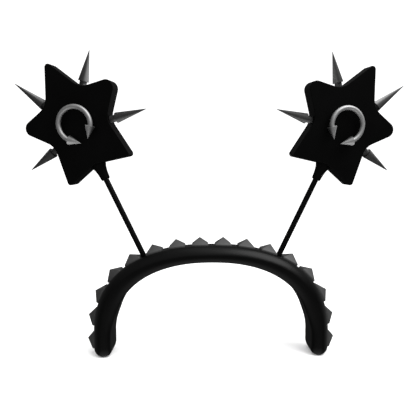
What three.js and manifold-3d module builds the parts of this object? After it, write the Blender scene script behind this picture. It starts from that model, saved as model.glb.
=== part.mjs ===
// A studded headband with two spiked stars on straight stalks, standing on the ends of its band.
// Millimetres, +Z up, the front towards -Y, left and right as seen from the front.
import * as THREE from 'three';
import { mergeVertices } from 'three/addons/utils/BufferGeometryUtils.js';
import Module from 'manifold-3d';

// Clearance kept between pieces that touch, and the distance under which corners are one
const gap = 0.3;
const weldDistance = 1e-4;

// Band: the crest follows a superellipse that runs down into straight legs
const band = {
  halfSpan: 74.7,
  height: 70.1,
  rise: 57,
  squareness: 2.4,
  depth: 20.8,
  crestLand: 11.4,
  shoulderDrop: 5.2,
  shoulderSquareness: 1.35,
  innerRound: 3.6,
  footRound: 3.2,
  footHeight: 6,
};

// Thickness of the band at distances from the crown along the crest
const bandThickness = [
  { place: 'crown', along: 0, thickness: 10.2 },
  { place: 'shoulder', along: 86, thickness: 13.2 },
  { place: 'leg', along: 107.5, thickness: 11.4 },
];

// Studs: square pyramids spaced evenly along the crest, on each side of the middle
const stud = { side: 10.4, skirt: 0.7, height: 5.1, pitch: 14.75, perSide: 8 };

// Stalks stand between two studs and lean outwards
const stalk = { diameter: 3.5, studsFromCrown: 3, lean: 25.5, toStarCentre: 93.2, seatDepth: 5, inStar: 8 };

// Stars: half of the outline from the top point round to the bottom notch, before rounding
const star = { thickness: 8.6, yaw: 12 };
const starCorners = [
  { name: 'top point', x: 0, z: 41.9, round: 2.2 },
  { name: 'upper notch', x: 12.8, z: 17.4, round: 12 },
  { name: 'side point', x: 36.8, z: 12.7, round: 4.8 },
  { name: 'lower notch', x: 19.5, z: -6.7, round: 10.4 },
  { name: 'lower point', x: 23.1, z: -33.4, round: 2 },
  { name: 'bottom notch', x: 0, z: -27.7, round: 5.8 },
];

// Sockets: sections from the star's bottom notch down to the lip round the stalk
const socketSections = [
  { below: 0, halfWidth: 4.9, halfDepth: 3.3 },
  { below: 2.4, halfWidth: 3.9, halfDepth: 3.1 },
  { below: 5.6, halfWidth: 3.2, halfDepth: 2.9 },
  { below: 8.9, halfWidth: 2.85, halfDepth: 2.8 },
  { below: 9.8, halfWidth: 2.7, halfDepth: 2.7 },
  { below: 10.3, halfWidth: 2.25, halfDepth: 2.25 },
];

// Spikes: a cone on a narrower neck that is pushed into the star; angles turn from the star's own up
const spike = { baseDiameter: 6.6, neckDiameter: 4.4, neckLength: 8.2 };
const spikePlaces = [
  { name: 'top_inner', towards: -1, x: 15.3, z: 20.6, angle: 40.5, length: 18.8 },
  { name: 'top_outer', towards: 1, x: 15.2, z: 19.8, angle: 29, length: 24 },
  { name: 'low_inner', towards: -1, x: 24.1, z: -8.3, angle: 101, length: 20 },
  { name: 'low_outer', towards: 1, x: 24.2, z: -8.5, angle: 99, length: 20 },
];

// Rings: an open round bar with two cone ends, standing off the star on hidden posts
const ring = {
  radius: 10.4,
  barDiameter: 2.9,
  towardsMiddle: 0.65,
  centreZ: -1.3,
  coneDiameter: 6,
  coneLength: 7.9,
  barInCone: 1.4,
  postDiameter: 1.4,
  postInStar: 3,
};

// Ends of a ring's bar, at angles from its top; the inner one is nearer to the headband's middle
const ringEnds = [
  { name: 'inner', towards: -1, angle: 122.5 },
  { name: 'outer', towards: 1, angle: 132.5 },
];

// Posts that carry a ring, where its bar hides them from the front
const ringPosts = [
  { towards: -1, angle: 25 },
  { towards: 1, angle: 120 },
];

const sides = { stalk: 14, spike: 18, bar: 12, post: 10, socket: 20, shoulder: 5, innerCorner: 4 };
const degrees = Math.PI / 180;

const wasm = await Module();
wasm.setup();

// A closed mesh with shared corners and no collapsed triangles
function weld(geometry) {
  const bare = geometry.clone();
  bare.deleteAttribute('normal');
  bare.deleteAttribute('uv');
  const merged = mergeVertices(bare, weldDistance);
  const corners = merged.index.array;
  const kept = [];
  for (let i = 0; i < corners.length; i += 3) {
    const [a, b, c] = [corners[i], corners[i + 1], corners[i + 2]];
    if (a !== b && b !== c && c !== a) kept.push(a, b, c);
  }
  merged.setIndex(kept);
  return merged;
}

function toSolid(geometry) {
  const welded = weld(geometry);
  const vertProperties = Float32Array.from(welded.attributes.position.array);
  const triVerts = Uint32Array.from(welded.index.array);
  return new wasm.Manifold(new wasm.Mesh({ numProp: 3, vertProperties, triVerts }));
}

function toGeometry(solid) {
  const { vertProperties, triVerts } = solid.getMesh();
  const geometry = new THREE.BufferGeometry();
  geometry.setAttribute('position', new THREE.BufferAttribute(vertProperties, 3));
  geometry.setIndex(new THREE.BufferAttribute(triVerts, 1));
  return geometry;
}

function cut(geometry, tools) {
  const solid = tools.reduce((rest, tool) => rest.subtract(toSolid(tool)), toSolid(geometry));
  return toGeometry(solid);
}

function join(geometries) {
  const [first, ...others] = geometries.map(toSolid);
  return toGeometry(others.reduce((sum, other) => sum.add(other), first));
}

// A skin through sections of equal point counts, closed by a fan at each end
function loft(sections) {
  const count = sections[0].length;
  const points = sections.flat();
  const index = [];
  for (let s = 0; s + 1 < sections.length; s++) {
    for (let i = 0; i < count; i++) {
      const here = s * count + i;
      const next = s * count + ((i + 1) % count);
      index.push(here, next, here + count, next, next + count, here + count);
    }
  }
  const middle = (section) => {
    const sum = section.reduce((total, point) => total.add(point), new THREE.Vector3());
    return sum.divideScalar(count);
  };
  const firstHub = points.push(middle(sections[0])) - 1;
  const lastHub = points.push(middle(sections.at(-1))) - 1;
  const lastStart = (sections.length - 1) * count;
  for (let i = 0; i < count; i++) {
    const next = (i + 1) % count;
    index.push(firstHub, next, i, lastHub, lastStart + i, lastStart + next);
  }
  const geometry = new THREE.BufferGeometry().setFromPoints(points);
  geometry.setIndex(index);
  return geometry;
}

// A round rod along Z between two heights
function rod(diameter, from, to, sideCount) {
  const geometry = new THREE.CylinderGeometry(diameter / 2, diameter / 2, to - from, sideCount);
  return geometry.rotateX(Math.PI / 2).translate(0, 0, (from + to) / 2);
}

// A turned piece from [radius, height] pairs along Z
function turned(profile, sideCount, startAngle = 0) {
  const points = profile.map(([radius, height]) => new THREE.Vector2(radius, height));
  return new THREE.LatheGeometry(points, sideCount, startAngle).rotateX(Math.PI / 2);
}

// Crest line of one side, from the crown down to the foot, with its length so far
function crestSamples() {
  const samples = [];
  const steps = 2000;
  let length = 0;
  const add = (x, z) => {
    const last = samples.at(-1);
    if (last) length += Math.hypot(x - last.x, z - last.z);
    samples.push({ x, z, length });
  };
  for (let i = 0; i <= steps; i++) {
    const t = (Math.PI / 2) * (1 - i / steps);
    const x = band.halfSpan * Math.cos(t) ** (2 / band.squareness);
    add(x, band.height - band.rise + band.rise * Math.sin(t) ** (2 / band.squareness));
  }
  add(band.halfSpan, 0);
  return samples;
}

const crest = crestSamples();
const crestLength = crest.at(-1).length;

// Point on the crest at a distance from the crown, to the right when positive
function crestPoint(distance) {
  const along = Math.min(Math.abs(distance), crestLength);
  const after = Math.max(1, crest.findIndex((sample) => sample.length >= along));
  const [a, b] = [crest[after - 1], crest[after]];
  const share = (along - a.length) / (b.length - a.length);
  const x = a.x + share * (b.x - a.x);
  return new THREE.Vector3(Math.sign(distance) * x, 0, a.z + share * (b.z - a.z));
}

// Outward tilt of the crest there, from straight up
function crestTilt(distance) {
  const reach = 1.5;
  const nearFoot = Math.max(0, Math.abs(distance) + reach - crestLength);
  const middle = distance - Math.sign(distance) * nearFoot;
  const along = crestPoint(middle + reach).sub(crestPoint(middle - reach));
  return Math.atan2(-along.z, along.x);
}

// Thickness of the band there, eased between the rows of its table
function thicknessAt(distance) {
  const along = Math.abs(distance);
  const next = bandThickness.findIndex((row) => row.along > along);
  if (next < 0) return bandThickness.at(-1).thickness;
  const [a, b] = [bandThickness[next - 1], bandThickness[next]];
  const share = THREE.MathUtils.smoothstep(along, a.along, b.along);
  return THREE.MathUtils.lerp(a.thickness, b.thickness, share);
}

// Section of the band as [distance below the crest, depth] pairs, once round
function bandSection(thickness) {
  const halfLand = band.crestLand / 2;
  const halfDepth = band.depth / 2;
  const power = 2 / band.shoulderSquareness;
  const half = [];
  for (let i = 0; i <= sides.shoulder; i++) {
    const t = (i / sides.shoulder) * (Math.PI / 2);
    const below = band.shoulderDrop * (1 - Math.max(0, Math.cos(t)) ** power);
    half.push([below, halfLand + (halfDepth - halfLand) * Math.sin(t) ** power]);
  }
  for (let i = 0; i <= sides.innerCorner; i++) {
    const t = (i / sides.innerCorner) * (Math.PI / 2);
    const below = thickness - band.innerRound * (1 - Math.sin(t));
    half.push([below, halfDepth - band.innerRound * (1 - Math.cos(t))]);
  }
  const frontHalf = half.map(([below, y]) => [below, -y]);
  return [...frontHalf, ...half.reverse()];
}

// How much the band draws in on every side at a height, rounding its feet
function footTrim(z) {
  const rise = Math.max(0, 1 - z / band.footHeight);
  return band.footRound * (1 - Math.sqrt(1 - rise ** 2));
}

function bandBody() {
  const archStep = 3.4;
  const footHeights = [0, 0.5, 1.4, 3, band.footHeight];
  const archEnd = crestLength - band.footHeight;
  const archCount = Math.round((2 * archEnd) / archStep);
  const stations = footHeights.map((z) => z - crestLength);
  for (let i = 1; i < archCount; i++) stations.push(-archEnd + (2 * archEnd * i) / archCount);
  stations.push(...footHeights.map((z) => crestLength - z).reverse());
  const sections = stations.map((distance) => {
    const origin = crestPoint(distance);
    const tilt = crestTilt(distance);
    const trim = footTrim(origin.z);
    const thickness = thicknessAt(distance);
    const middle = thickness / 2;
    return bandSection(thickness).map(([below, y]) => {
      const inward = middle + (below - middle) * (1 - trim / middle);
      const across = y * (1 - trim / (band.depth / 2));
      return new THREE.Vector3(
        origin.x - inward * Math.sin(tilt),
        across,
        origin.z - inward * Math.cos(tilt),
      );
    });
  });
  return loft(sections);
}

// Square pyramid on a low skirt, with its flat base at height 0
function studBody() {
  const halfDiagonal = stud.side / Math.SQRT2;
  const profile = [
    [0, 0],
    [halfDiagonal, 0],
    [halfDiagonal, stud.skirt],
    [0, stud.height],
  ];
  return turned(profile, 4, Math.PI / 4);
}

// Whole outline of a star in its own plane, every corner rounded by an arc
function starOutline() {
  const left = starCorners.slice(1, -1).reverse();
  const corners = [...starCorners, ...left.map((corner) => ({ ...corner, x: -corner.x }))];
  const shape = new THREE.Shape();
  corners.forEach((corner, i) => {
    const here = new THREE.Vector2(corner.x, corner.z);
    const toward = (other) => new THREE.Vector2(other.x, other.z).sub(here).normalize();
    const before = toward(corners.at(i - 1));
    const after = toward(corners[(i + 1) % corners.length]);
    const halfAngle = Math.acos(before.dot(after)) / 2;
    const reach = corner.round / Math.tan(halfAngle);
    const bisector = before.clone().add(after).normalize();
    const centre = here.clone().addScaledVector(bisector, corner.round / Math.sin(halfAngle));
    const start = here.clone().addScaledVector(before, reach).sub(centre);
    const end = here.clone().addScaledVector(after, reach).sub(centre);
    const clockwise = start.cross(end) < 0;
    shape.absarc(centre.x, centre.y, corner.round, start.angle(), end.angle(), clockwise);
  });
  return shape;
}

// Slab of the star, its front towards -Y
function starSlab() {
  const options = { depth: star.thickness, bevelEnabled: false, curveSegments: 3 };
  return new THREE.ExtrudeGeometry(starOutline(), options)
    .rotateX(Math.PI / 2)
    .translate(0, star.thickness / 2, 0);
}

const bottomNotch = starCorners.at(-1);
const lowerPoint = starCorners.at(-2);
const notchSlope = (bottomNotch.z - lowerPoint.z) / lowerPoint.x;

// Flared socket whose top follows the star's bottom notch
function socketBody() {
  const sections = socketSections.map(({ below, halfWidth, halfDepth }, row) => {
    const section = [];
    for (let i = 0; i < sides.socket; i++) {
      const t = (i / sides.socket) * 2 * Math.PI;
      const x = halfWidth * Math.cos(t);
      const roof = row === 0 ? notchSlope * Math.abs(x) : notchSlope * halfWidth;
      section.push(new THREE.Vector3(x, halfDepth * Math.sin(t), bottomNotch.z - gap - below - roof));
    }
    return section;
  });
  const length = socketSections.at(-1).below;
  const boreFrom = bottomNotch.z - 2 * length;
  const boreTo = bottomNotch.z + length;
  const bore = rod(stalk.diameter + 2 * gap, boreFrom, boreTo, sides.stalk);
  return cut(loft(sections.reverse()), [bore]);
}

function spikeBody(length) {
  const profile = [
    [0, -spike.neckLength],
    [spike.neckDiameter / 2, -spike.neckLength],
    [spike.neckDiameter / 2, 0],
    [spike.baseDiameter / 2, 0],
    [0, length],
  ];
  return turned(profile, sides.spike);
}

// Plane of the ring in front of the star's middle, so that its cone ends just clear the face
const ringY = -(star.thickness / 2 + gap + ring.coneDiameter / 2);

// Point of a star's ring at an angle from the ring's top
function ringPoint(direction, angle) {
  const x = ring.radius * Math.sin(angle) - direction * ring.towardsMiddle;
  return new THREE.Vector3(x, ringY, ring.centreZ + ring.radius * Math.cos(angle));
}

class RingArc extends THREE.Curve {
  constructor(direction, from, to) {
    super();
    Object.assign(this, { direction, from, to });
  }

  getPoint(share, target = new THREE.Vector3()) {
    return target.copy(ringPoint(this.direction, THREE.MathUtils.lerp(this.from, this.to, share)));
  }
}

// Posts behind the bar, from the bar's middle back into the star
function ringPostBodies(direction, diameter, depthInStar) {
  const reach = -ringY - star.thickness / 2 + depthInStar;
  const post = rod(diameter, 0, reach, sides.post).rotateX(-Math.PI / 2);
  return ringPosts.map(({ towards, angle }) => {
    const { x, y, z } = ringPoint(direction, direction * towards * angle * degrees);
    return post.clone().translate(x, y, z);
  });
}

// Angle of the ring along which its bar runs inside a cone end
const barTurn = ring.barInCone / ring.radius;

function ringBody(direction) {
  const ends = ringEnds.map(({ towards, angle }) => direction * towards * (angle * degrees + barTurn));
  const bar = new THREE.Shape().absarc(0, 0, ring.barDiameter / 2, 0, 2 * Math.PI);
  const options = {
    steps: 32,
    curveSegments: sides.bar / 2,
    bevelEnabled: false,
    extrudePath: new RingArc(direction, Math.min(...ends), Math.max(...ends)),
  };
  const posts = ringPostBodies(direction, ring.postDiameter, ring.postInStar);
  return join([new THREE.ExtrudeGeometry(bar, options), ...posts]);
}

// Cone end with a blind hole for the bar
function ringConeBody() {
  const cone = turned([[0, 0], [ring.coneDiameter / 2, 0], [0, ring.coneLength]], sides.spike);
  const hole = rod(ring.barDiameter + 2 * gap, -1, ring.barInCone + gap, sides.bar);
  return cut(cone, [hole]);
}

const blackPadding = { color: 0x0b0b0b, roughness: 0.42, metalness: 0 };
const blackPlastic = { color: 0x070707, roughness: 0.5, metalness: 0 };
const castMetal = { color: 0x77777a, roughness: 0.35, metalness: 1 };
const brightSteel = { color: 0xb9babd, roughness: 0.22, metalness: 1 };

function piece(name, geometry, finish) {
  const mesh = new THREE.Mesh(geometry, new THREE.MeshStandardMaterial(finish));
  mesh.name = name;
  return mesh;
}

const headband = new THREE.Group();
const stalkFoot = stalk.studsFromCrown * stud.pitch;

// Group at the centre of a star; its own +Z runs up along the stalk
function antennaGroup(direction) {
  const lean = direction * stalk.lean * degrees;
  const centre = crestPoint(direction * stalkFoot);
  centre.x += stalk.toStarCentre * Math.sin(lean);
  centre.z += stalk.toStarCentre * Math.cos(lean);
  const group = new THREE.Group();
  group.position.copy(centre);
  group.rotation.set(0, lean, direction * star.yaw * degrees);
  group.updateMatrix();
  return group;
}

const stalkBottom = -stalk.toStarCentre - stalk.seatDepth;
const stalkTop = bottomNotch.z + stalk.inStar;
const stalkHole = rod(stalk.diameter + 2 * gap, stalkBottom - gap, stalkTop + gap, sides.stalk);

// Star with holes for its stalk, spikes and ring posts
function starBody(direction) {
  const spikeHole = rod(spike.neckDiameter + 2 * gap, -spike.neckLength - gap, 0, sides.spike);
  const holes = spikePlaces.map(({ towards, x, z, angle }) => {
    const outwards = direction * towards;
    return spikeHole.clone().rotateY(outwards * angle * degrees).translate(outwards * x, 0, z);
  });
  const postHoles = ringPostBodies(direction, ring.postDiameter + 2 * gap, ring.postInStar + gap);
  return cut(starSlab(), [stalkHole, ...holes, ...postHoles]);
}

const antennas = [
  { side: 'left', direction: -1 },
  { side: 'right', direction: 1 },
].map((antenna) => ({ ...antenna, group: antennaGroup(antenna.direction) }));

const stalkSeats = antennas.map(({ group }) => stalkHole.clone().applyMatrix4(group.matrix));
headband.add(piece('band', cut(bandBody(), stalkSeats), blackPadding));

antennas.forEach(({ side, direction, group }) => {
  for (let i = 0; i < stud.perSide; i++) {
    const distance = direction * stud.pitch * (stud.perSide - i - 0.5);
    const pyramid = piece(`stud_${side}_${i + 1}`, studBody(), castMetal);
    const tilt = crestTilt(distance);
    const outward = new THREE.Vector3(Math.sin(tilt), 0, Math.cos(tilt));
    pyramid.position.copy(crestPoint(distance)).addScaledVector(outward, gap);
    pyramid.rotation.y = tilt;
    headband.add(pyramid);
  }
  group.add(piece(`stalk_${side}`, rod(stalk.diameter, stalkBottom, stalkTop, sides.stalk), blackPlastic));
  group.add(piece(`socket_${side}`, socketBody(), blackPlastic));
  group.add(piece(`star_${side}`, starBody(direction), blackPlastic));
  spikePlaces.forEach(({ name, towards, x, z, angle, length }) => {
    const outwards = direction * towards;
    const cone = piece(`spike_${side}_${name}`, spikeBody(length), castMetal);
    cone.position.set(outwards * x, 0, z);
    cone.rotation.y = outwards * angle * degrees;
    group.add(cone);
  });
  group.add(piece(`ring_${side}`, ringBody(direction), brightSteel));
  ringEnds.forEach(({ name, towards, angle }) => {
    const turn = direction * towards * angle * degrees;
    const cone = piece(`ring_cone_${side}_${name}`, ringConeBody(), brightSteel);
    cone.position.copy(ringPoint(direction, turn));
    cone.rotation.y = turn + direction * towards * (Math.PI / 2 + barTurn);
    group.add(cone);
  });
  headband.add(group);
});

export default headband;
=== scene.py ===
import math

import bmesh
import bpy
from mathutils import Matrix, Vector


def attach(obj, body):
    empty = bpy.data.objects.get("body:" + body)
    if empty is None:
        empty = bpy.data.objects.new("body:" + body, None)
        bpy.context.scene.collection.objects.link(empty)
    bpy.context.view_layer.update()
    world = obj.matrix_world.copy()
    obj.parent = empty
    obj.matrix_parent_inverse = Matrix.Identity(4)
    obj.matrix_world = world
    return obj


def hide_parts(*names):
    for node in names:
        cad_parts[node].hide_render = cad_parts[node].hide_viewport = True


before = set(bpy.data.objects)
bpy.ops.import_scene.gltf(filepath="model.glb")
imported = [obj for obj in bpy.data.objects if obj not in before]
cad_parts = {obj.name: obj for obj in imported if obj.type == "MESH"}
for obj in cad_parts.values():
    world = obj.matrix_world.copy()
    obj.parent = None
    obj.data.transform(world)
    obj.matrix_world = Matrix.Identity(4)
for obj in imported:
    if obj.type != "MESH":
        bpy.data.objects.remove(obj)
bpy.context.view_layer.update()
print("frame:", len(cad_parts), "nodes")

mm = 0.001
antennaSides = {"left": -1, "right": 1}
fit = 0.3 * mm  # clearance between a piece and its seat
weldDistance = 0.002 * mm  # corners nearer than this become one
crispAngle = math.radians(35)  # sharper folds show as edges


# One node with its settings and its inputs: values, links, or nodes in place of their first outputs
def addNode(tree, kind, settings, inputs):
    node = tree.nodes.new(kind)
    for name, value in settings.items():
        setattr(node, name, value)
    for socket, value in inputs.items():
        if isinstance(value, bpy.types.Node):
            value = value.outputs[0]
        if isinstance(value, bpy.types.NodeSocket):
            tree.links.new(value, node.inputs[socket])
        else:
            node.inputs[socket].default_value = value
    return node


# sRGB hex to the linear colour that shaders use
def linearColour(hexCode):
    channels = [int(hexCode[i:i + 2], 16) / 255 for i in (1, 3, 5)]
    linear = [c / 12.92 if c <= 0.04045 else ((c + 0.055) / 1.055) ** 2.4 for c in channels]
    return (*linear, 1)


# Camera at the photograph's angle
photoView = {
    "imageWidth": 420,  # pixels
    "focalLength": 400,  # pixels
    "opticalCentre": 211.5,  # pixels from the left edge
    "sensorWidth": 36,  # millimetres
    "distance": 256 * mm,
    "aimHeight": 92.6 * mm,
    "lookDown": math.radians(3.6),
    "swing": math.radians(1.3),  # so that the left side is a little nearer
    "nearest": 10 * mm,
    "farthest": 100,  # metres
}


def makeCamera():
    view = photoView
    data = bpy.data.cameras.new("photoCamera")
    data.sensor_width = view["sensorWidth"]
    data.lens = data.sensor_width * view["focalLength"] / view["imageWidth"]
    data.shift_x = 0.5 - view["opticalCentre"] / view["imageWidth"]
    data.clip_start = view["nearest"]
    data.clip_end = view["farthest"]
    camera = bpy.data.objects.new("photoCamera", data)
    level = math.cos(view["lookDown"])
    forward = Vector((
        math.sin(view["swing"]) * level,
        math.cos(view["swing"]) * level,
        -math.sin(view["lookDown"]),
    ))
    camera.location = Vector((0, 0, view["aimHeight"])) - forward * view["distance"]
    camera.rotation_euler = forward.to_track_quat("-Z", "Y").to_euler()
    bpy.context.scene.collection.objects.link(camera)
    bpy.context.scene.camera = camera


# White surround and floor, a broad soft lamp up on the right and a small one above the middle
studio = {
    "floorColour": "#fafafa",
    "floorRadius": 8,  # metres
    "floorSides": 64,
    "surround": 1.3,  # what lights the floor and shows behind the object
    "lamps": [  # in millimetres and watts
        {"name": "rightLamp", "place": (440, -300, 800), "size": 680, "power": 6.8},
        {"name": "middleLamp", "place": (30, -60, 500), "size": 280, "power": 0.15},
    ],
}

# What gloss reflects instead of the white: dim all round, with soft glows in six directions
gloss = {
    "least": 0.05,
    "glows": [  # "from" is the cosine at which a glow starts
        {"name": "above", "towards": (0, -0.3, 0.95), "from": 0.2, "gain": 0.36},
        {"name": "front", "towards": (0, -1, 0), "from": 0, "gain": 0.08},
        {"name": "high behind", "towards": (0, 0.75, 0.66), "from": 0.6, "gain": 0.1},
        {"name": "right", "towards": (0.86, 0.49, 0.12), "from": 0.65, "gain": 0.45},
        {"name": "left", "towards": (-0.86, 0.49, 0.12), "from": 0.65, "gain": 0.2},
        {"name": "below", "towards": (0, -0.3, -0.95), "from": 0.55, "gain": 0.85},
    ],
}


def makeSurround():
    world = bpy.data.worlds.new("whiteSurround")
    world.use_nodes = True
    tree = world.node_tree
    tree.nodes.clear()
    rays = addNode(tree, "ShaderNodeLightPath", {}, {})
    place = addNode(tree, "ShaderNodeTexCoord", {}, {})
    strength = gloss["least"]
    for glow in gloss["glows"]:
        settings = {"operation": "DOT_PRODUCT", "label": glow["name"]}
        facing = addNode(tree, "ShaderNodeVectorMath", settings, {
            0: place.outputs["Generated"],
            1: glow["towards"],
        })
        part = addNode(tree, "ShaderNodeMapRange", {"interpolation_type": "SMOOTHSTEP"}, {
            "Value": facing.outputs["Value"],
            "From Min": glow["from"],
            "To Max": glow["gain"],
        })
        strength = addNode(tree, "ShaderNodeMath", {"operation": "ADD"}, {0: strength, 1: part})
    colourless = (1, 1, 1, 1)
    white = addNode(tree, "ShaderNodeBackground", {}, {
        "Color": colourless,
        "Strength": studio["surround"],
    })
    dim = addNode(tree, "ShaderNodeBackground", {}, {"Color": colourless, "Strength": strength})
    both = addNode(tree, "ShaderNodeMixShader", {}, {
        "Fac": rays.outputs["Is Glossy Ray"],
        1: white,
        2: dim,
    })
    addNode(tree, "ShaderNodeOutputWorld", {}, {"Surface": both})
    world.cycles.sampling_method = "NONE"  # so that gloss never samples the white
    bpy.context.scene.world = world


def makeLamp(row):
    data = bpy.data.lights.new(row["name"], "AREA")
    data.shape = "DISK"
    data.size = row["size"] * mm
    data.energy = row["power"]
    lamp = bpy.data.objects.new(row["name"], data)
    lamp.location = Vector(row["place"]) * mm
    lamp.visible_camera = False
    towards = Vector((0, 0, photoView["aimHeight"])) - lamp.location
    lamp.rotation_euler = towards.to_track_quat("-Z", "Y").to_euler()
    bpy.context.scene.collection.objects.link(lamp)


def makeFloor():
    material = bpy.data.materials.new("paleFloor")
    material.use_nodes = True
    shader = material.node_tree.nodes["Principled BSDF"]
    shader.inputs["Base Color"].default_value = linearColour(studio["floorColour"])
    shader.inputs["Roughness"].default_value = 1
    shader.inputs["Specular IOR Level"].default_value = 0
    mesh = bpy.data.meshes.new("paleFloor")
    disc = bmesh.new()
    sides = studio["floorSides"]
    bmesh.ops.create_circle(disc, cap_ends=True, radius=studio["floorRadius"], segments=sides)
    disc.to_mesh(mesh)
    disc.free()
    mesh.materials.append(material)
    floor = bpy.data.objects.new("paleFloor", mesh)
    floor.visible_glossy = False  # black gloss stays black down to the feet
    bpy.context.scene.collection.objects.link(floor)


def makeStudio():
    makeSurround()
    makeFloor()
    for row in studio["lamps"]:
        makeLamp(row)
    settings = bpy.context.scene.view_settings
    settings.view_transform = "Standard"
    settings.look = "None"


def newMaterial(name):
    material = bpy.data.materials.new(name)
    material.use_nodes = True
    tree = material.node_tree
    tree.nodes.clear()
    place = addNode(tree, "ShaderNodeTexCoord", {}, {}).outputs["Object"]
    return material, tree, place


# Colour from one pattern and roughness from another or the same one
def mottle(tree, tone, wear, colours, roughness):
    colour = addNode(tree, "ShaderNodeMix", {"data_type": "RGBA"}, {
        "Factor": tone,
        6: linearColour(colours[0]),
        7: linearColour(colours[1]),
    })
    rough = addNode(tree, "ShaderNodeMapRange", {}, {
        "Value": wear,
        "To Min": roughness[0],
        "To Max": roughness[1],
    })
    return colour.outputs[2], rough


# Ends a material in its bump, its shader and its output
def endMaterial(material, relief, looks):
    tree = material.node_tree
    bump = addNode(tree, "ShaderNodeBump", {}, relief)
    shader = addNode(tree, "ShaderNodeBsdfPrincipled", {}, {**looks, "Normal": bump})
    addNode(tree, "ShaderNodeOutputMaterial", {}, {"Surface": shader})
    return material


# Polyurethane leathercloth, calendered smooth and drawn tight over the band:
# a satin black whose shallow pebble shows only where light runs along it
def polyurethaneLeathercloth():
    pebble = 0.9 * mm
    cloud = 14 * mm
    material, tree, place = newMaterial("polyurethaneLeathercloth")
    patches = addNode(tree, "ShaderNodeTexNoise", {}, {"Vector": place, "Scale": 1 / cloud, "Detail": 3})
    colour, satin = mottle(tree, patches, patches, ("#020202", "#040404"), (0.3, 0.37))
    grain = addNode(tree, "ShaderNodeTexVoronoi", {"feature": "SMOOTH_F1"}, {
        "Vector": place,
        "Scale": 1 / pebble,
        "Smoothness": 0.6,
    })
    relief = {"Height": grain, "Strength": 0.25, "Distance": 0.06 * mm}
    looks = {"Base Color": colour, "Roughness": satin, "Specular IOR Level": 0.15}
    return endMaterial(material, relief, looks)


# ABS, injection moulded in a finely eroded tool: an even deep black with a dull skin
def mouldedAbs():
    grit = 0.45 * mm  # several times the real grit, so that it shows at all
    flow = 22 * mm
    material, tree, place = newMaterial("mouldedAbs")
    marks = addNode(tree, "ShaderNodeTexNoise", {}, {"Vector": place, "Scale": 1 / flow, "Detail": 2})
    colour, dull = mottle(tree, marks, marks, ("#020202", "#050505"), (0.36, 0.46))
    skin = addNode(tree, "ShaderNodeTexNoise", {}, {"Vector": place, "Scale": 1 / grit, "Detail": 1})
    relief = {"Height": skin, "Strength": 0.2, "Distance": 0.03 * mm}
    looks = {"Base Color": colour, "Roughness": dull, "Specular IOR Level": 0.045}
    return endMaterial(material, relief, looks)


# Steel rod, powder coated: black with the faint orange peel of baked powder
def powderCoatedSteel():
    peel = 1.1 * mm
    material, tree, place = newMaterial("powderCoatedSteel")
    waves = addNode(tree, "ShaderNodeTexNoise", {}, {"Vector": place, "Scale": 1 / peel, "Detail": 2})
    colour = addNode(tree, "ShaderNodeMix", {"data_type": "RGBA"}, {
        "Factor": waves,
        6: linearColour("#020202"),
        7: linearColour("#050505"),
    })
    relief = {"Height": waves, "Strength": 0.3, "Distance": 0.05 * mm}
    looks = {"Base Color": colour.outputs[2], "Roughness": 0.42, "Specular IOR Level": 0.08}
    return endMaterial(material, relief, looks)


# Zinc alloy, die cast and nickel plated: a dull grey metal with cloudy plating
def nickelPlatedZinc():
    cloud = 3.5 * mm
    pits = 0.5 * mm
    material, tree, place = newMaterial("nickelPlatedZinc")
    clouds = addNode(tree, "ShaderNodeTexNoise", {}, {"Vector": place, "Scale": 1 / cloud, "Detail": 4})
    colour, dull = mottle(tree, clouds, clouds, ("#646464", "#737373"), (0.66, 0.78))
    casting = addNode(tree, "ShaderNodeTexNoise", {}, {"Vector": place, "Scale": 1 / pits, "Detail": 1})
    relief = {"Height": casting, "Strength": 0.15, "Distance": 0.03 * mm}
    return endMaterial(material, relief, {"Base Color": colour, "Metallic": 1, "Roughness": dull})


# Mild steel, turned to cones and plated in black nickel: a dull dark grey with faint turning rings,
# and a painted sheen that brightens it to pale metal towards one side of each cone
def nickelPlatedSteel():
    scuffs = 1.6 * mm
    feed = 0.4 * mm  # several times the real feed of the lathe, so that its rings show at all
    material, tree, place = newMaterial("nickelPlatedSteel")
    wear = addNode(tree, "ShaderNodeTexNoise", {}, {"Vector": place, "Scale": 1 / scuffs, "Detail": 4})
    side = addNode(tree, "ShaderNodeAttribute", {"attribute_name": "buffedSide"}, {})
    # painted sheen: the share of pale metal, rising towards the side of each cone at +X
    paintedSheen = addNode(tree, "ShaderNodeMapRange", {"interpolation_type": "SMOOTHSTEP"}, {
        "Value": side.outputs["Fac"],
        "From Min": 0.25,
        "From Max": 1.2,
    })
    # the wear's faint uneven tone added to the painted sheen
    uneven = addNode(tree, "ShaderNodeMath", {"operation": "MULTIPLY_ADD", "use_clamp": True}, {
        0: wear,
        1: 0.06,
        2: paintedSheen,
    })
    # from the plating's dark grey to the pale of the painted sheen
    colour, polish = mottle(tree, uneven, wear, ("#525252", "#e6e6e6"), (0.7, 0.82))
    along = addNode(tree, "ShaderNodeAttribute", {"attribute_name": "alongAxis"}, {})
    turns = addNode(tree, "ShaderNodeMath", {"operation": "MULTIPLY"}, {
        0: along.outputs["Fac"],
        1: 2 * math.pi / feed,
    })
    rings = addNode(tree, "ShaderNodeMath", {"operation": "SINE"}, {0: turns})
    relief = {"Height": rings, "Strength": 0.15, "Distance": 0.02 * mm}
    return endMaterial(material, relief, {"Base Color": colour, "Metallic": 1, "Roughness": polish})
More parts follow.
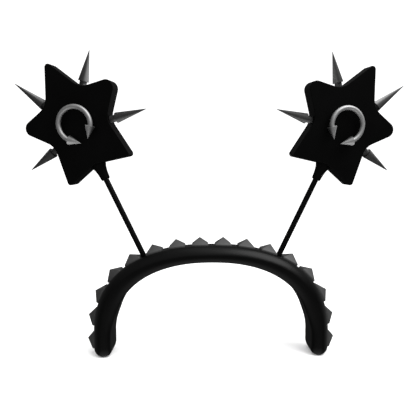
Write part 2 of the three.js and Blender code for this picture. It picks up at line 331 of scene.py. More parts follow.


# Stainless steel bar, bent and barrel tumbled, with cone ends: paler than the plating, a soft satin with
# faint dents, with a painted sheen that turns each cone from dark to bright across it
def tumbledStainless():
    smear = 2.5 * mm
    dents = 0.8 * mm
    material, tree, place = newMaterial("tumbledStainless")
    smears = addNode(tree, "ShaderNodeTexNoise", {}, {"Vector": place, "Scale": 1 / smear, "Detail": 5})
    side = addNode(tree, "ShaderNodeAttribute", {"attribute_name": "buffedSide"}, {})  # 0 all along a bar
    uneven = addNode(tree, "ShaderNodeMath", {"operation": "MULTIPLY_ADD"}, {0: smears, 1: 0.12, 2: 0.4})
    # painted sheen across each cone, on top of the smears' random tone; along the bars only the smears
    paintedSheen = addNode(tree, "ShaderNodeMath", {"operation": "MULTIPLY_ADD", "use_clamp": True}, {
        0: side.outputs["Fac"],
        1: 0.5,
        2: uneven,
    })
    # from a dark grey to the pale of the painted sheen
    colour, polish = mottle(tree, paintedSheen, smears, ("#585858", "#f8f8f8"), (0.54, 0.64))
    tumbled = addNode(tree, "ShaderNodeTexNoise", {}, {"Vector": place, "Scale": 1 / dents, "Detail": 2})
    relief = {"Height": tumbled, "Strength": 0.2, "Distance": 0.04 * mm}
    return endMaterial(material, relief, {"Base Color": colour, "Metallic": 1, "Roughness": polish})


# A tree with its named inputs; every tree takes the host's own mesh first
def newTree(name, inputs):
    tree = bpy.data.node_groups.new(name, "GeometryNodeTree")
    tree.interface.new_socket("geometry", in_out="INPUT", socket_type="NodeSocketGeometry")
    tree.interface.new_socket("geometry", in_out="OUTPUT", socket_type="NodeSocketGeometry")
    for label, kind in inputs.items():
        tree.interface.new_socket(label, in_out="INPUT", socket_type="NodeSocket" + kind)
    return tree, tree.nodes.new("NodeGroupInput").outputs


def endTree(tree, geometry, material):
    whole = addNode(tree, "GeometryNodeRealizeInstances", {}, {"Geometry": geometry})
    painted = addNode(tree, "GeometryNodeSetMaterial", {}, {"Geometry": whole, "Material": material})
    addNode(tree, "NodeGroupOutput", {}, {"geometry": painted})


# Runs a tree on its host and leaves the host with the result as a plain mesh
def runTree(tree, host, values):
    bpy.context.scene.collection.objects.link(host)
    modifier = host.modifiers.new(tree.name, "NODES")
    modifier.node_group = tree
    for socket in tree.interface.items_tree:
        if socket.in_out == "INPUT" and socket.name in values:
            modifier[socket.identifier] = values[socket.name]
    keepEvaluated(host)
    if host.data.materials[0] is None:  # copies bring an empty slot with them
        host.data.materials.pop(index=0)


# Replaces an object's mesh by what its modifiers make of it
def keepEvaluated(thing):
    depsgraph = bpy.context.evaluated_depsgraph_get()
    made = bpy.data.meshes.new_from_object(thing.evaluated_get(depsgraph), depsgraph=depsgraph)
    thing.modifiers.clear()
    before = thing.data
    thing.data = made
    bpy.data.meshes.remove(before)
    made.name = thing.name


# Closed mesh with merged corners and faces outwards, smooth but for its sharp edges
def solidMesh(name, corners, faces):
    mesh = bpy.data.meshes.new(name)
    mesh.from_pydata(corners, [], faces)
    faceOutwards(mesh)
    smoothMesh(mesh, crispAngle)
    return mesh


def faceOutwards(mesh):
    body = bmesh.new()
    body.from_mesh(mesh)
    bmesh.ops.remove_doubles(body, verts=body.verts, dist=weldDistance)
    bmesh.ops.recalc_face_normals(body, faces=body.faces)
    body.to_mesh(mesh)
    body.free()


def smoothMesh(mesh, angle):
    mesh.shade_smooth()
    mesh.set_sharp_from_angle(angle=angle)


# Skin through sections of equal counts, with a face over each end
def loftFaces(sections):
    count = len(sections[0])
    corners = [corner for section in sections for corner in section]
    faces = []
    for s in range(len(sections) - 1):
        for i in range(count):
            here = s * count + i
            following = s * count + (i + 1) % count
            faces.append((here, following, following + count, here + count))
    last = (len(sections) - 1) * count
    faces.append(tuple(reversed(range(count))))
    faces.append(tuple(range(last, last + count)))
    return corners, faces


# Turned piece about Z from radius and height pairs, both ends closed
def turnedMesh(name, profile, sides):
    sections = []
    for radius, height in profile:
        turns = [2 * math.pi * i / sides for i in range(sides)]
        sections.append([Vector((radius * math.cos(t), radius * math.sin(t), height)) for t in turns])
    return solidMesh(name, *loftFaces(sections))


# Puts a mesh in its place in the row frame, as a piece that stands for its nodes
def placePiece(name, mesh, matrix, material, nodes):
    mesh.transform(matrix)
    mesh.materials.append(material)
    piece = bpy.data.objects.new(name, mesh)
    bpy.context.scene.collection.objects.link(piece)
    dressPiece(piece, nodes)
    return piece


def dressPiece(piece, nodes):
    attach(piece, "root")
    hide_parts(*nodes)


# Band: the crest follows a superellipse that runs down into straight legs
band = {
    "halfSpan": 74.7 * mm,
    "height": 70.1 * mm,
    "rise": 57 * mm,
    "squareness": 2.4,
    "depth": 20.8 * mm,
    "crestLand": 11.4 * mm,
    "shoulderDrop": 5.2 * mm,
    "shoulderSquareness": 1.35,  # near 1 it is a flat bevel, at 2 a round
    "innerRound": 3.6 * mm,
    "crownThickness": 10.2 * mm,
    "shoulderThickness": 13.2 * mm,
    "shoulderAlong": 86 * mm,  # from the crown along the crest
    "legThickness": 11.4 * mm,
    "legAlong": 107.5 * mm,
    "footRound": 3.2 * mm,
    "footHeight": 6 * mm,
    "crispAngle": math.radians(40),
    "crestSteps": 240,
    "stations": 220,
    "shoulderSteps": 14,
    "innerSteps": 8,
}

# Sizes that the band's tree takes under their own names
bandSizes = [
    "depth", "shoulderDrop", "crownThickness", "shoulderThickness", "shoulderAlong",
    "legThickness", "legAlong", "footRound", "footHeight",
]


# Crest from the left foot over the crown to the right foot
def crestPoints():
    steps = band["crestSteps"]
    power = 2 / band["squareness"]
    springing = band["height"] - band["rise"]
    right = []
    for i in range(steps + 1):
        turn = math.pi / 2 * (1 - i / steps)
        x = band["halfSpan"] * max(0, math.cos(turn)) ** power
        right.append(Vector((x, 0, springing + band["rise"] * math.sin(turn) ** power)))
    right.append(Vector((band["halfSpan"], 0, 0)))
    left = [Vector((-p.x, 0, p.z)) for p in reversed(right[1:])]
    return left + right


# Point on the crest at a distance from the crown, to the right when positive
def crestAt(distance):
    points = crestPoints()
    lengths = [0]
    for a, b in zip(points, points[1:]):
        lengths.append(lengths[-1] + (b - a).length)
    along = lengths[-1] / 2 + distance
    after = next(i for i, length in enumerate(lengths) if length >= along)
    a, b = points[after - 1], points[after]
    share = (along - lengths[after - 1]) / (lengths[after] - lengths[after - 1])
    return a.lerp(b, share)


def crestHost(name):
    points = crestPoints()
    mesh = bpy.data.meshes.new(name)
    mesh.from_pydata(points, [(i, i + 1) for i in range(len(points) - 1)], [])
    return bpy.data.objects.new(name, mesh)


# Section at the crown: X runs across the band and Y down from the crest
def sectionHost():
    halfLand = band["crestLand"] / 2
    halfDepth = band["depth"] / 2
    power = 2 / band["shoulderSquareness"]
    half = []
    for i in range(band["shoulderSteps"] + 1):
        turn = math.pi / 2 * i / band["shoulderSteps"]
        across = halfLand + (halfDepth - halfLand) * math.sin(turn) ** power
        half.append((across, band["shoulderDrop"] * (1 - max(0, math.cos(turn)) ** power)))
    for i in range(band["innerSteps"] + 1):
        turn = math.pi / 2 * i / band["innerSteps"]
        across = halfDepth - band["innerRound"] * (1 - math.cos(turn))
        half.append((across, band["crownThickness"] - band["innerRound"] * (1 - math.sin(turn))))
    outline = half + [(-across, below) for across, below in reversed(half)]
    count = len(outline)
    mesh = bpy.data.meshes.new("bandSection")
    mesh.from_pydata([(x, y, 0) for x, y in outline], [(i, (i + 1) % count) for i in range(count)], [])
    return bpy.data.objects.new("bandSection", mesh)


# Thickness along the crest, eased from crown to shoulder and from shoulder to leg
def bandThickness(tree, given, crest):
    whole = addNode(tree, "GeometryNodeCurveLength", {}, {"Curve": crest})
    middle = addNode(tree, "ShaderNodeMath", {"operation": "MULTIPLY"}, {0: whole, 1: 0.5})
    run = addNode(tree, "GeometryNodeSplineParameter", {}, {})
    offset = addNode(tree, "ShaderNodeMath", {"operation": "SUBTRACT"}, {
        0: run.outputs["Length"],
        1: middle,
    })
    along = addNode(tree, "ShaderNodeMath", {"operation": "ABSOLUTE"}, {0: offset})
    swell = addNode(tree, "ShaderNodeMapRange", {"interpolation_type": "SMOOTHSTEP"}, {
        "Value": along,
        "From Max": given["shoulderAlong"],
        "To Min": given["crownThickness"],
        "To Max": given["shoulderThickness"],
    })
    legLoss = addNode(tree, "ShaderNodeMath", {"operation": "SUBTRACT"}, {
        0: given["legThickness"],
        1: given["shoulderThickness"],
    })
    slim = addNode(tree, "ShaderNodeMapRange", {"interpolation_type": "SMOOTHSTEP"}, {
        "Value": along,
        "From Min": given["shoulderAlong"],
        "From Max": given["legAlong"],
        "To Max": legLoss,
    })
    return addNode(tree, "ShaderNodeMath", {"operation": "ADD"}, {0: swell, 1: slim})


# How far a section draws in at its height above the floor, which rounds the feet
def footTrim(tree, given, spot):
    height = addNode(tree, "ShaderNodeSeparateXYZ", {}, {0: spot})
    low = addNode(tree, "ShaderNodeMapRange", {}, {
        "Value": height.outputs["Z"],
        "From Max": given["footHeight"],
        "To Min": 1,
        "To Max": 0,
    })
    lowSquared = addNode(tree, "ShaderNodeMath", {"operation": "MULTIPLY"}, {0: low, 1: low})
    left = addNode(tree, "ShaderNodeMath", {"operation": "SUBTRACT"}, {0: 1, 1: lowSquared})
    circle = addNode(tree, "ShaderNodeMath", {"operation": "SQRT"}, {0: left})
    drop = addNode(tree, "ShaderNodeMath", {"operation": "SUBTRACT"}, {0: 1, 1: circle})
    return addNode(tree, "ShaderNodeMath", {"operation": "MULTIPLY"}, {0: given["footRound"], 1: drop})


# Depth below the crest of a point of the section: past the shoulder it stretches with the thickness
def stretchedDepth(tree, given, below, thickness):
    sideLength = addNode(tree, "ShaderNodeMath", {"operation": "SUBTRACT"}, {
        0: given["crownThickness"],
        1: given["shoulderDrop"],
    })
    past = addNode(tree, "ShaderNodeMath", {"operation": "SUBTRACT"}, {
        0: below,
        1: given["shoulderDrop"],
    })
    share = addNode(tree, "ShaderNodeMath", {"operation": "DIVIDE", "use_clamp": True}, {
        0: past,
        1: sideLength,
    })
    extra = addNode(tree, "ShaderNodeMath", {"operation": "SUBTRACT"}, {
        0: thickness,
        1: given["crownThickness"],
    })
    return addNode(tree, "ShaderNodeMath", {"operation": "MULTIPLY_ADD"}, {
        0: share,
        1: extra,
        2: below,
    })


# Place on the skin of a point of the section, which the trim scales about the section's middle
def skinPlace(tree, given, station, section):
    parts = addNode(tree, "ShaderNodeSeparateXYZ", {}, {0: section.outputs["section"]})
    thickness = station.outputs["thickness"]
    below = stretchedDepth(tree, given, parts.outputs["Y"], thickness)
    halves = []
    keeps = []
    for size in (thickness, given["depth"]):
        half = addNode(tree, "ShaderNodeMath", {"operation": "MULTIPLY"}, {0: size, 1: 0.5})
        loss = addNode(tree, "ShaderNodeMath", {"operation": "DIVIDE"}, {
            0: station.outputs["trim"],
            1: half,
        })
        keep = addNode(tree, "ShaderNodeMath", {"operation": "SUBTRACT"}, {0: 1, 1: loss})
        halves.append(half)
        keeps.append(keep)
    fromMiddle = addNode(tree, "ShaderNodeMath", {"operation": "SUBTRACT"}, {0: below, 1: halves[0]})
    depthIn = addNode(tree, "ShaderNodeMath", {"operation": "MULTIPLY_ADD"}, {
        0: fromMiddle,
        1: keeps[0],
        2: halves[0],
    })
    across = addNode(tree, "ShaderNodeMath", {"operation": "MULTIPLY"}, {
        0: parts.outputs["X"],
        1: keeps[1],
    })
    sideways = addNode(tree, "ShaderNodeCombineXYZ", {}, {"Y": across})
    base = addNode(tree, "ShaderNodeVectorMath", {"operation": "ADD"}, {
        0: station.outputs["spot"],
        1: sideways,
    })
    sunk = addNode(tree, "ShaderNodeVectorMath", {"operation": "SCALE"}, {
        0: station.outputs["inward"],
        "Scale": depthIn,
    })
    return addNode(tree, "ShaderNodeVectorMath", {"operation": "ADD"}, {0: base, 1: sunk})


# Sweeps the band's section along the crest
def sweptBandTree():
    tree, given = newTree("sweptBand", {
        "section": "Object",
        **dict.fromkeys(bandSizes, "Float"),
        "stations": "Int",
        "material": "Material",
    })
    line = addNode(tree, "GeometryNodeMeshToCurve", {}, {"Mesh": given["geometry"]})
    crest = addNode(tree, "GeometryNodeResampleCurve", {}, {"Curve": line, "Count": given["stations"]})

    # What each station knows: its place, the way inwards, its thickness and its trim
    spot = addNode(tree, "GeometryNodeInputPosition", {}, {})
    tangent = addNode(tree, "GeometryNodeInputTangent", {}, {})
    inward = addNode(tree, "ShaderNodeVectorMath", {"operation": "CROSS_PRODUCT"}, {
        0: (0, 1, 0),
        1: tangent,
    })
    facts = {
        "spot": ("VECTOR", spot),
        "inward": ("VECTOR", inward),
        "thickness": ("FLOAT", bandThickness(tree, given, crest)),
        "trim": ("FLOAT", footTrim(tree, given, spot)),
    }
    station = tree.nodes.new("GeometryNodeCaptureAttribute")
    tree.links.new(crest.outputs[0], station.inputs[0])
    for name, (kind, fact) in facts.items():
        station.capture_items.new(kind, name)
        tree.links.new(fact.outputs[0], station.inputs[name])

    # The section keeps its own coordinates on the skin
    shape = addNode(tree, "GeometryNodeObjectInfo", {}, {"Object": given["section"]})
    loop = addNode(tree, "GeometryNodeMeshToCurve", {}, {"Mesh": shape.outputs["Geometry"]})
    section = tree.nodes.new("GeometryNodeCaptureAttribute")
    section.capture_items.new("VECTOR", "section")
    tree.links.new(loop.outputs[0], section.inputs[0])
    tree.links.new(spot.outputs[0], section.inputs[1])
    skin = addNode(tree, "GeometryNodeCurveToMesh", {}, {
        "Curve": station,
        "Profile Curve": section,
        "Fill Caps": True,
    })
    shaped = addNode(tree, "GeometryNodeSetPosition", {}, {
        "Geometry": skin,
        "Position": skinPlace(tree, given, station, section),
    })
    endTree(tree, shaped, given["material"])
    return tree


def makeBand(material):
    host = crestHost("coveredBand")
    section = sectionHost()
    runTree(sweptBandTree(), host, {
        "section": section,
        **{size: band[size] for size in bandSizes},
        "stations": band["stations"],
        "material": material,
    })
    bpy.data.objects.remove(section)
    faceOutwards(host.data)
    smoothMesh(host.data, band["crispAngle"])
    dressPiece(host, ["band"])
    print("band:", len(host.data.polygons), "faces")


# Studs: square pyramids on a low skirt, spaced evenly along the crest
stud = {
    "side": 10.4 * mm,
    "skirt": 0.7 * mm,
    "height": 5.1 * mm,
    "sunk": 0.9 * mm,  # below the solid's base, through the clearance and into the padding
    "edgeRound": 0.22 * mm,
    "edgeSteps": 2,
    "edgeProfile": 0.5,  # a plain round
    "pitch": 14.75 * mm,
    "perSide": 8,
}


def studMesh():
    half = stud["side"] / 2
    square = [(-half, -half), (half, -half), (half, half), (-half, half)]
    count = len(square)
    corners = [(x, y, z) for z in (-stud["sunk"], stud["skirt"]) for x, y in square]
    corners.append((0, 0, stud["height"]))
    faces = [tuple(reversed(range(count)))]
    for i in range(count):
        following = (i + 1) % count
        faces.append((i, following, following + count, i + count))
        faces.append((i + count, following + count, 2 * count))
    mesh = bpy.data.meshes.new("pyramidStud")
    mesh.from_pydata(corners, [], faces)
    body = bmesh.new()
    body.from_mesh(mesh)
    bmesh.ops.bevel(
        body,
        geom=body.edges[:],
        offset=stud["edgeRound"],
        segments=stud["edgeSteps"],
        profile=stud["edgeProfile"],
        affect="EDGES",
    )
    bmesh.ops.recalc_face_normals(body, faces=body.faces)
    body.to_mesh(mesh)
    body.free()
    smoothMesh(mesh, crispAngle)
    return mesh


# Spaces a piece evenly along the crest, upright on it
def crestRowTree():
    tree, given = newTree("crestRow", {
        "piece": "Object",
        "count": "Int",
        "pitch": "Float",
        "lift": "Float",
        "material": "Material",
    })
    line = addNode(tree, "GeometryNodeMeshToCurve", {}, {"Mesh": given["geometry"]})
    whole = addNode(tree, "GeometryNodeCurveLength", {}, {"Curve": line})
    places = addNode(tree, "GeometryNodePoints", {}, {"Count": given["count"]})
    index = addNode(tree, "GeometryNodeInputIndex", {}, {})
    lastIndex = addNode(tree, "ShaderNodeMath", {"operation": "SUBTRACT"}, {0: given["count"], 1: 1})
    middleIndex = addNode(tree, "ShaderNodeMath", {"operation": "MULTIPLY"}, {0: lastIndex, 1: 0.5})
    fromMiddle = addNode(tree, "ShaderNodeMath", {"operation": "SUBTRACT"}, {0: index, 1: middleIndex})
    halfWay = addNode(tree, "ShaderNodeMath", {"operation": "MULTIPLY"}, {0: whole, 1: 0.5})
    along = addNode(tree, "ShaderNodeMath", {"operation": "MULTIPLY_ADD"}, {
        0: fromMiddle,
        1: given["pitch"],
        2: halfWay,
    })
    sample = addNode(tree, "GeometryNodeSampleCurve", {"mode": "LENGTH", "use_all_curves": True}, {
        "Curves": line,
        "Length": along,
    })
    outward = addNode(tree, "ShaderNodeVectorMath", {"operation": "CROSS_PRODUCT"}, {
        0: sample.outputs["Tangent"],
        1: (0, 1, 0),
    })
    lifted = addNode(tree, "ShaderNodeVectorMath", {"operation": "MULTIPLY_ADD"}, {
        0: outward,
        1: given["lift"],
        2: sample.outputs["Position"],
    })
    seated = addNode(tree, "GeometryNodeSetPosition", {}, {"Geometry": places, "Position": lifted})
    upright = addNode(tree, "FunctionNodeAxesToRotation", {"primary_axis": "Z", "secondary_axis": "Y"}, {
        "Primary Axis": outward,
        "Secondary Axis": (0, 1, 0),
    })
    shape = addNode(tree, "GeometryNodeObjectInfo", {}, {"Object": given["piece"]})
    row = addNode(tree, "GeometryNodeInstanceOnPoints", {}, {
        "Points": seated,
        "Instance": shape.outputs["Geometry"],
        "Rotation": upright,
    })
    endTree(tree, row, given["material"])
    return tree


def makeStuds(material):
    pattern = bpy.data.objects.new("studPattern", studMesh())
    host = crestHost("pyramidStuds")
    runTree(crestRowTree(), host, {
        "piece": pattern,
        "count": 2 * stud["perSide"],
        "pitch": stud["pitch"],
        "lift": fit,
        "material": material,
    })
    bpy.data.objects.remove(pattern)
    nodes = [f"stud_{side}_{i + 1}" for side in antennaSides for i in range(stud["perSide"])]
    dressPiece(host, nodes)
    print("studs:", len(nodes), "pyramids,", len(host.data.polygons), "faces")


# Stalks stand between two studs and lean outwards
stalk = {
    "diameter": 3.5 * mm,
    "fromCrown": 3 * stud["pitch"],  # between the third stud from the crown and the fourth
    "lean": math.radians(25.5),
    "toStarCentre": 93.2 * mm,
    "seatDepth": 5 * mm,
    "inStar": 8 * mm,
    "endRound": 0.4 * mm,
    "sides": 40,
}

# Stars: half of the outline before rounding, from the top point to the bottom notch, in millimetres
star = {
    "thickness": 8.6 * mm,
    "yaw": math.radians(12),
    "edgeRound": 0.45 * mm,
    "edgeSteps": 3,
    "edgeAngle": math.radians(50),  # sharper edges are rounded
    "cornerSteps": 14,
    "corners": [
        {"name": "top point", "x": 0, "z": 41.9, "round": 2.2},
        {"name": "upper notch", "x": 12.8, "z": 17.4, "round": 12},
        {"name": "side point", "x": 36.8, "z": 12.7, "round": 4.8},
        {"name": "lower notch", "x": 19.5, "z": -6.7, "round": 10.4},
        {"name": "lower point", "x": 23.1, "z": -33.4, "round": 2},
        {"name": "bottom notch", "x": 0, "z": -27.7, "round": 5.8},
    ],
}


def starCorner(name):
    return next(row for row in star["corners"] if row["name"] == name)


# Place of a star's centre; its own +Z runs up along the stalk
def antennaMatrix(direction):
    lean = direction * stalk["lean"]
    centre = crestAt(direction * stalk["fromCrown"])
    centre.x += stalk["toStarCentre"] * math.sin(lean)
    centre.z += stalk["toStarCentre"] * math.cos(lean)
    yaw = Matrix.Rotation(direction * star["yaw"], 4, "Z")
    return Matrix.Translation(centre) @ Matrix.Rotation(lean, 4, "Y") @ yaw


# Whole outline of a star in its own plane, every corner rounded by an arc
def starOutline():
    half = [(Vector((row["x"], row["z"])) * mm, row["round"] * mm) for row in star["corners"]]
    mirrored = [(Vector((-spot.x, spot.y)), radius) for spot, radius in reversed(half[1:-1])]
    corners = half + mirrored
    outline = []
    for i, (spot, radius) in enumerate(corners):
        before = (corners[i - 1][0] - spot).normalized()
        after = (corners[(i + 1) % len(corners)][0] - spot).normalized()
        halfAngle = before.angle(after) / 2
        reach = radius / math.tan(halfAngle)
        centre = spot + (before + after).normalized() * (radius / math.sin(halfAngle))
        start = spot + before * reach - centre
        end = spot + after * reach - centre
        first = math.atan2(start.y, start.x)
        sweep = math.remainder(math.atan2(end.y, end.x) - first, 2 * math.pi)
        for k in range(star["cornerSteps"] + 1):
            angle = first + sweep * k / star["cornerSteps"]
            outline.append(centre + radius * Vector((math.cos(angle), math.sin(angle))))
    return outline


def starMesh():
    outline = starOutline()
    halfThickness = star["thickness"] / 2
    layers = [[Vector((p.x, y, p.y)) for p in outline] for y in (-halfThickness, halfThickness)]
    return solidMesh("star", *loftFaces(layers))


def makeStar(side, matrix, material):
    name = f"star{side.capitalize()}"
    piece = placePiece(name, starMesh(), matrix, material, [f"star_{side}"])
    edge = piece.modifiers.new("edgeRound", "BEVEL")
    edge.width = star["edgeRound"]
    edge.segments = star["edgeSteps"]
    edge.limit_method = "ANGLE"
    edge.angle_limit = star["edgeAngle"]
    flat = piece.modifiers.new("flatFaces", "WEIGHTED_NORMAL")
    flat.keep_sharp = False
    keepEvaluated(piece)


# Sockets: sections from the star's bottom notch down to the lip round the stalk, in millimetres
socket = {
    "rise": 0.9 * mm,  # above the solid's top, through the clearance and into the star
    "sides": 56,
    "stepsPerRow": 5,
    "rows": [
        {"below": 0, "halfWidth": 4.9, "halfDepth": 3.3},
        {"below": 2.4, "halfWidth": 3.9, "halfDepth": 3.1},
        {"below": 5.6, "halfWidth": 3.2, "halfDepth": 2.9},
        {"below": 8.9, "halfWidth": 2.85, "halfDepth": 2.8},
        {"below": 9.8, "halfWidth": 2.7, "halfDepth": 2.7},
        {"below": 10.2, "halfWidth": 2.4, "halfDepth": 2.4},
        {"below": 10.3, "halfWidth": 1.9, "halfDepth": 1.9},
    ],
}


# Smooth run through a table's rows, each column on its own
def easedRows(rows, steps):
    columns = list(rows[0])
    eased = []
    for i in range(len(rows) - 1):
        around = [rows[max(0, i - 1)], rows[i], rows[i + 1], rows[min(len(rows) - 1, i + 2)]]
        for k in range(steps):
            t = k / steps
            weights = (  # of a cubic that passes through every row
                -0.5 * t + t * t - 0.5 * t ** 3,
                1 - 2.5 * t * t + 1.5 * t ** 3,
                0.5 * t + 2 * t * t - 1.5 * t ** 3,
                -0.5 * t * t + 0.5 * t ** 3,
            )
            eased.append({c: sum(w * row[c] for w, row in zip(weights, around)) for c in columns})
    eased.append(rows[-1])
    return eased


# Loft under the bottom notch: its first section follows the notch's slopes and the others lie level
def socketMesh():
    lowerPoint = starCorner("lower point")
    bottomNotch = starCorner("bottom notch")
    slope = (bottomNotch["z"] - lowerPoint["z"]) / lowerPoint["x"]
    sections = []
    for i, row in enumerate(easedRows(socket["rows"], socket["stepsPerRow"])):
        section = []
        for k in range(socket["sides"]):
            turn = 2 * math.pi * k / socket["sides"]
            x = row["halfWidth"] * math.cos(turn)
            roof = slope * (abs(x) if i == 0 else row["halfWidth"])
            z = (bottomNotch["z"] - row["below"] - roof) * mm - fit
            if i == 0:
                z += socket["rise"]
            section.append(Vector((x * mm, row["halfDepth"] * math.sin(turn) * mm, z)))
        sections.append(section)
    return solidMesh("socket", *loftFaces(sections))


def makeSocket(side, matrix, material):
    name = f"socket{side.capitalize()}"
    placePiece(name, socketMesh(), matrix, material, [f"socket_{side}"])


def makeStalk(side, matrix, material):
    radius = stalk["diameter"] / 2
    chamfer = stalk["endRound"]
    bottom = -stalk["toStarCentre"] - stalk["seatDepth"]
    top = starCorner("bottom notch")["z"] * mm + stalk["inStar"]
    profile = [
        (radius - chamfer, bottom),
        (radius, bottom + chamfer),
        (radius, top - chamfer),
        (radius - chamfer, top),
    ]
    mesh = turnedMesh("stalk", profile, stalk["sides"])
    placePiece(f"stalk{side.capitalize()}", mesh, matrix, material, [f"stalk_{side}"])


# Spikes: a cone on a narrower neck; its places are in millimetres and degrees from the star's own up
spike = {
    "baseDiameter": 6.6 * mm,
    "length": 20 * mm,  # of the pattern, which each place stretches
    "neckDiameter": 4.4 * mm,
    "neckLength": 8.2 * mm,
    "rimRound": 0.25 * mm,
    "tipRadius": 0.18 * mm,
    "sides": 48,
    "places": [
        {"name": "top_inner", "towards": -1, "x": 15.3, "z": 20.6, "angle": 40.5, "length": 18.8},
        {"name": "top_outer", "towards": 1, "x": 15.2, "z": 19.8, "angle": 29, "length": 24},
        {"name": "low_inner", "towards": -1, "x": 24.1, "z": -8.3, "angle": 101, "length": 20},
        {"name": "low_outer", "towards": 1, "x": 24.2, "z": -8.5, "angle": 99, "length": 20},
    ],
}


# Rounded tip of a cone, in tip radii
coneTip = [
    {"radius": 1, "below": 1.4},
    {"radius": 0.7, "below": 0.4},
    {"radius": 0, "below": 0},
]


# Profile of a cone from its base rim to its tip
def coneProfile(diameter, length, rim, tip):
    radius = diameter / 2
    slant = radius / length
    rimCut = 0.3 * rim  # by which a small round clears its corner
    profile = [(radius - rim, 0), (radius - rimCut, rimCut), (radius - slant * rim, rim)]
    return profile + [(row["radius"] * tip, length - row["below"] * tip) for row in coneTip]


# Marks a turned mesh along its axis and round it, from 1 on the side at +X, where its sheen is painted,
# to -1 opposite
def markTurned(mesh):
    core = 0.3 * mm  # nearer to the axis than this the painted sheen fades out
    paintedSheen = [corner.co.x / max(corner.co.xy.length, core) for corner in mesh.vertices]
    along = [corner.co.z for corner in mesh.vertices]
    for label, values in (("buffedSide", paintedSheen), ("alongAxis", along)):
        mesh.attributes.new(label, "FLOAT", "POINT").data.foreach_set("value", values)
    return mesh


def spikeMesh():
    neck = spike["neckDiameter"] / 2
    chamfer = spike["rimRound"]
    profile = [
        (0.0, -spike["neckLength"]),
        (neck - chamfer, -spike["neckLength"]),
        (neck, -spike["neckLength"] + chamfer),
        (neck, 0),
    ]
    cone = coneProfile(spike["baseDiameter"], spike["length"], spike["rimRound"], spike["tipRadius"])
    return markTurned(turnedMesh("spike", profile + cone, spike["sides"]))


# Stands a piece on every point of the host, along the point's own axis and stretched along it
def axisSetTree():
    tree, given = newTree("axisSet", {"piece": "Object", "material": "Material"})
    kinds = {"axis": "FLOAT_VECTOR", "side": "FLOAT_VECTOR", "stretch": "FLOAT"}
    facts = {
        label: addNode(tree, "GeometryNodeInputNamedAttribute", {"data_type": kind}, {"Name": label})
        for label, kind in kinds.items()
    }
    # the side turns each piece's +X, where a sheen is painted, towards it
    turn = addNode(tree, "FunctionNodeAxesToRotation", {"primary_axis": "Z", "secondary_axis": "X"}, {
        "Primary Axis": facts["axis"],
        "Secondary Axis": facts["side"],
    })
    shape = addNode(tree, "GeometryNodeObjectInfo", {}, {"Object": given["piece"]})
    size = addNode(tree, "ShaderNodeCombineXYZ", {}, {"X": 1, "Y": 1, "Z": facts["stretch"]})
    stood = addNode(tree, "GeometryNodeInstanceOnPoints", {}, {
        "Points": given["geometry"],
        "Instance": shape.outputs["Geometry"],
        "Rotation": turn,
        "Scale": size,
    })
    endTree(tree, stood, given["material"])
    return tree


# Makes one piece of a pattern's copies, from rows with a spot, an axis, a side, a stretch and a node
def makeAxisSet(name, patternMesh, rows, material):
    mesh = bpy.data.meshes.new(name)
    mesh.from_pydata([row["spot"] for row in rows], [], [])
    for label in ("axis", "side"):
        components = [component for row in rows for component in row[label]]
        mesh.attributes.new(label, "FLOAT_VECTOR", "POINT").data.foreach_set("vector", components)
    stretches = [row["stretch"] for row in rows]
    mesh.attributes.new("stretch", "FLOAT", "POINT").data.foreach_set("value", stretches)
    pattern = bpy.data.objects.new(name + "Pattern", patternMesh)
    host = bpy.data.objects.new(name, mesh)
    runTree(axisSetTree(), host, {"piece": pattern, "material": material})
    bpy.data.objects.remove(pattern)
    dressPiece(host, [row["node"] for row in rows])
    print(name + ":", len(rows), "copies,", len(host.data.polygons), "faces")


# Row for a cone at a spot of its star that points at an angle from the star's up; seen from the front,
# the side where its sheen is painted lies anticlockwise of it on the right star and clockwise on the left
# one
def coneRow(matrix, direction, spot, angle, stretch, node):
    turn = matrix.to_3x3()
    return {
        "spot": matrix @ spot,
        "axis": turn @ Vector((math.sin(angle), 0, math.cos(angle))),
        # the way the cone's painted sheen faces
        "side": turn @ Vector((math.cos(angle), 0, -math.sin(angle))) * -direction,
        "stretch": stretch,
        "node": node,
    }


def makeSpikes(matrices, material):
    rows = []
    for side, direction in antennaSides.items():
        for place in spike["places"]:
            outwards = direction * place["towards"]
            spot = Vector((outwards * place["x"] * mm, 0, place["z"] * mm))
            angle = outwards * math.radians(place["angle"])
            stretch = place["length"] * mm / spike["length"]
            node = f"spike_{side}_{place['name']}"
            rows.append(coneRow(matrices[side], direction, spot, angle, stretch, node))
    makeAxisSet("coneSpikes", spikeMesh(), rows, material)


# Rings: an open round bar with two cone ends, standing off the star on hidden posts;
# angles are in degrees from the ring's top
ring = {
    "radius": 10.4 * mm,
    "barDiameter": 2.9 * mm,
    "towardsMiddle": 0.65 * mm,
    "centreZ": -1.3 * mm,
    "coneDiameter": 6 * mm,
    "coneLength": 7.9 * mm,
    "barInCone": 1.4 * mm,
    "postDiameter": 1.4 * mm,
    "postInStar": 3 * mm,
    "rimRound": 0.25 * mm,
    "tipRadius": 0.18 * mm,
    "steps": 120,
    "sides": 32,
    "coneSides": 48,
    "ends": [
        {"name": "inner", "towards": -1, "angle": 122.5},
        {"name": "outer", "towards": 1, "angle": 132.5},
    ],
    "posts": [
        {"towards": -1, "angle": 25},
        {"towards": 1, "angle": 120},
    ],
}
ring["y"] = -(star["thickness"] / 2 + fit + ring["coneDiameter"] / 2)
barTurn = ring["barInCone"] / ring["radius"]  # angle along which the bar runs inside a cone end


# Point of a star's ring at an angle from the ring's top
def ringPoint(direction, angle):
    x = ring["radius"] * math.sin(angle) - direction * ring["towardsMiddle"]
    return Vector((x, ring["y"], ring["centreZ"] + ring["radius"] * math.cos(angle)))


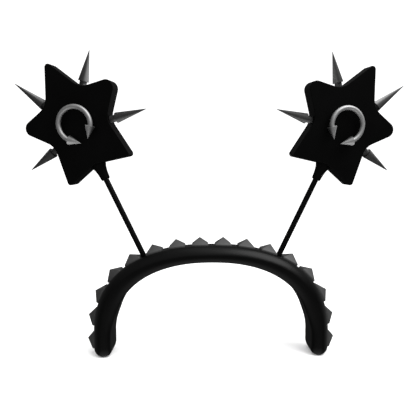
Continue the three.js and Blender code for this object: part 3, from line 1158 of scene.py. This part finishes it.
# Bends a round bar to an arc and stands a post behind it at every point of the host
def openRingTree():
    tree, given = newTree("openRing", {
        "centre": "Vector",
        **dict.fromkeys(["radius", "start", "sweep"], "Float"),
        **dict.fromkeys(["barDiameter", "postDiameter", "postLength"], "Float"),
        **dict.fromkeys(["steps", "sides"], "Int"),
        "material": "Material",
    })
    quarterTurn = (math.pi / 2, 0, 0)
    arc = addNode(tree, "GeometryNodeCurveArc", {"mode": "RADIUS"}, {
        "Resolution": given["steps"],
        "Radius": given["radius"],
        "Start Angle": given["start"],
        "Sweep Angle": given["sweep"],
    })
    halves = {
        label: addNode(tree, "ShaderNodeMath", {"operation": "MULTIPLY"}, {0: given[label], 1: 0.5})
        for label in ("barDiameter", "postDiameter", "postLength")
    }
    section = addNode(tree, "GeometryNodeCurvePrimitiveCircle", {"mode": "RADIUS"}, {
        "Resolution": given["sides"],
        "Radius": halves["barDiameter"],
    })
    bent = addNode(tree, "GeometryNodeCurveToMesh", {}, {
        "Curve": arc,
        "Profile Curve": section,
        "Fill Caps": True,
    })
    bar = addNode(tree, "GeometryNodeTransform", {}, {
        "Geometry": bent,
        "Translation": given["centre"],
        "Rotation": quarterTurn,
    })
    backwards = addNode(tree, "ShaderNodeCombineXYZ", {}, {"Y": halves["postLength"]})
    rod = addNode(tree, "GeometryNodeMeshCylinder", {"fill_type": "NGON"}, {
        "Vertices": given["sides"],
        "Radius": halves["postDiameter"],
        "Depth": given["postLength"],
    })
    post = addNode(tree, "GeometryNodeTransform", {}, {
        "Geometry": rod,
        "Translation": backwards,
        "Rotation": quarterTurn,
    })
    posts = addNode(tree, "GeometryNodeInstanceOnPoints", {}, {
        "Points": given["geometry"],
        "Instance": post,
    })
    whole = tree.nodes.new("GeometryNodeJoinGeometry")
    for part in (bar, posts):
        tree.links.new(part.outputs[0], whole.inputs[0])
    endTree(tree, whole, given["material"])
    return tree


def makeRing(side, direction, matrix, material):
    ends = [direction * end["towards"] * (math.radians(end["angle"]) + barTurn) for end in ring["ends"]]
    posts = [direction * post["towards"] * math.radians(post["angle"]) for post in ring["posts"]]
    name = f"ring{side.capitalize()}"
    mesh = bpy.data.meshes.new(name)
    mesh.from_pydata([ringPoint(direction, angle) for angle in posts], [], [])
    host = bpy.data.objects.new(name, mesh)
    runTree(openRingTree(), host, {
        **{size: ring[size] for size in ("radius", "barDiameter", "steps", "sides", "postDiameter")},
        "centre": (-direction * ring["towardsMiddle"], ring["y"], ring["centreZ"]),
        "start": math.pi / 2 - max(ends),  # the arc's own angles turn from +X to up
        "sweep": max(ends) - min(ends),
        "postLength": -ring["y"] - star["thickness"] / 2 + ring["postInStar"],
        "material": material,
    })
    host.data.transform(matrix)
    faceOutwards(host.data)
    smoothMesh(host.data, crispAngle)
    dressPiece(host, [f"ring_{side}"])


def makeRingCones(matrices, material):
    profile = coneProfile(ring["coneDiameter"], ring["coneLength"], ring["rimRound"], ring["tipRadius"])
    rows = []
    for side, direction in antennaSides.items():
        for end in ring["ends"]:
            outwards = direction * end["towards"]
            angle = outwards * math.radians(end["angle"])
            lie = angle + outwards * (math.pi / 2 + barTurn)
            node = f"ring_cone_{side}_{end['name']}"
            rows.append(coneRow(matrices[side], direction, ringPoint(direction, angle), lie, 1, node))
    cone = markTurned(turnedMesh("ringCone", [(0.0, 0), *profile], ring["coneSides"]))
    makeAxisSet("ringCones", cone, rows, material)


makeCamera()
makeStudio()
print("studio: camera, floor, surround and lamps")

cover = polyurethaneLeathercloth()
plastic = mouldedAbs()
coating = powderCoatedSteel()
plating = nickelPlatedZinc()
platedSteel = nickelPlatedSteel()
steel = tumbledStainless()
print("materials: 6")

makeBand(cover)
makeStuds(plating)
antennas = {side: antennaMatrix(direction) for side, direction in antennaSides.items()}
for side, direction in antennaSides.items():
    makeStalk(side, antennas[side], coating)
    makeSocket(side, antennas[side], plastic)
    makeStar(side, antennas[side], plastic)
    makeRing(side, direction, antennas[side], steel)
    print("antenna:", side)
makeSpikes(antennas, platedSteel)
makeRingCones(antennas, steel)
